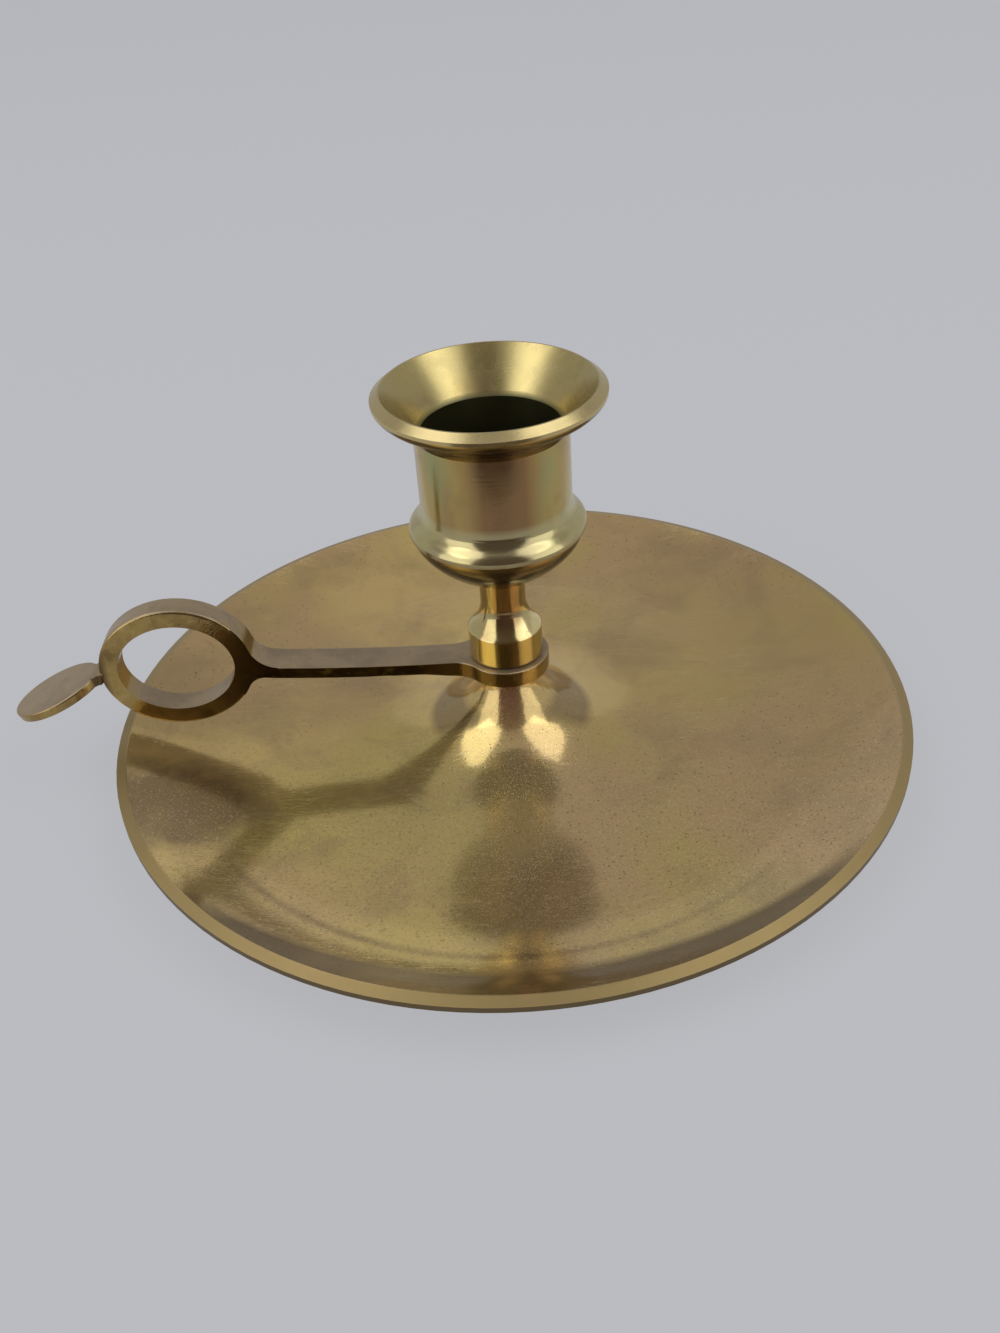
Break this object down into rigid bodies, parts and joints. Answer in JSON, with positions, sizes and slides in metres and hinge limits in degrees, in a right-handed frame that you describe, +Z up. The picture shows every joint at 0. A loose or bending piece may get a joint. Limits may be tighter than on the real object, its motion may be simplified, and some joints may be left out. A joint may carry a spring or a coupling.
{
  "type": "chamberstick",
  "caption": "Low candleholder with a round drip pan, a turned candle cup on a short stem and a side handle with an oval finger ring and thumb rest.",
  "frame": {"origin": "on the stem's axis, at the level that the foot stands on", "axes": "+Z up along the stem to the candle, -X out along the handle, +Y across it"},
  "size_m": [0.1578, 0.14, 0.0697],
  "materials": {
    "pan_brass": "worn satin, brown mottling",
    "handle_brass": "tarnished, brown in the corners",
    "bright_brass": "polished",
    "cup_brass": "tarnished, polished on the edges"
  },
  "bodies": {
    "stand": {"drip_pan": "pan_brass", "stud": "bright_brass"},
    "handle": {"finger_handle": "handle_brass", "thumb_rest": "handle_brass"},
    "collar": {"baluster": "bright_brass"},
    "cup": {"candle_cup": "cup_brass"}
  },
  "joints": [
    {"name": "handle_swivel", "type": "hinge", "parent": "stand", "child": "handle", "pos_m": [0, 0, 0.0184], "axis": [0, 0, 1], "continuous": true},
    {"name": "cup_turn", "type": "hinge", "parent": "stand", "child": "collar", "pos_m": [0, 0, 0.0349], "axis": [0, 0, 1], "range_deg": [0, 2160]},
    {"name": "cup_rise", "type": "slide", "parent": "collar", "child": "cup", "axis": [0, 0, 1], "range_m": [0, 0.0048]}
  ],
  "couplings": [
    {"joint": "cup_rise", "follows": "cup_turn", "m_per_rad": 0.00012732}
  ]
}
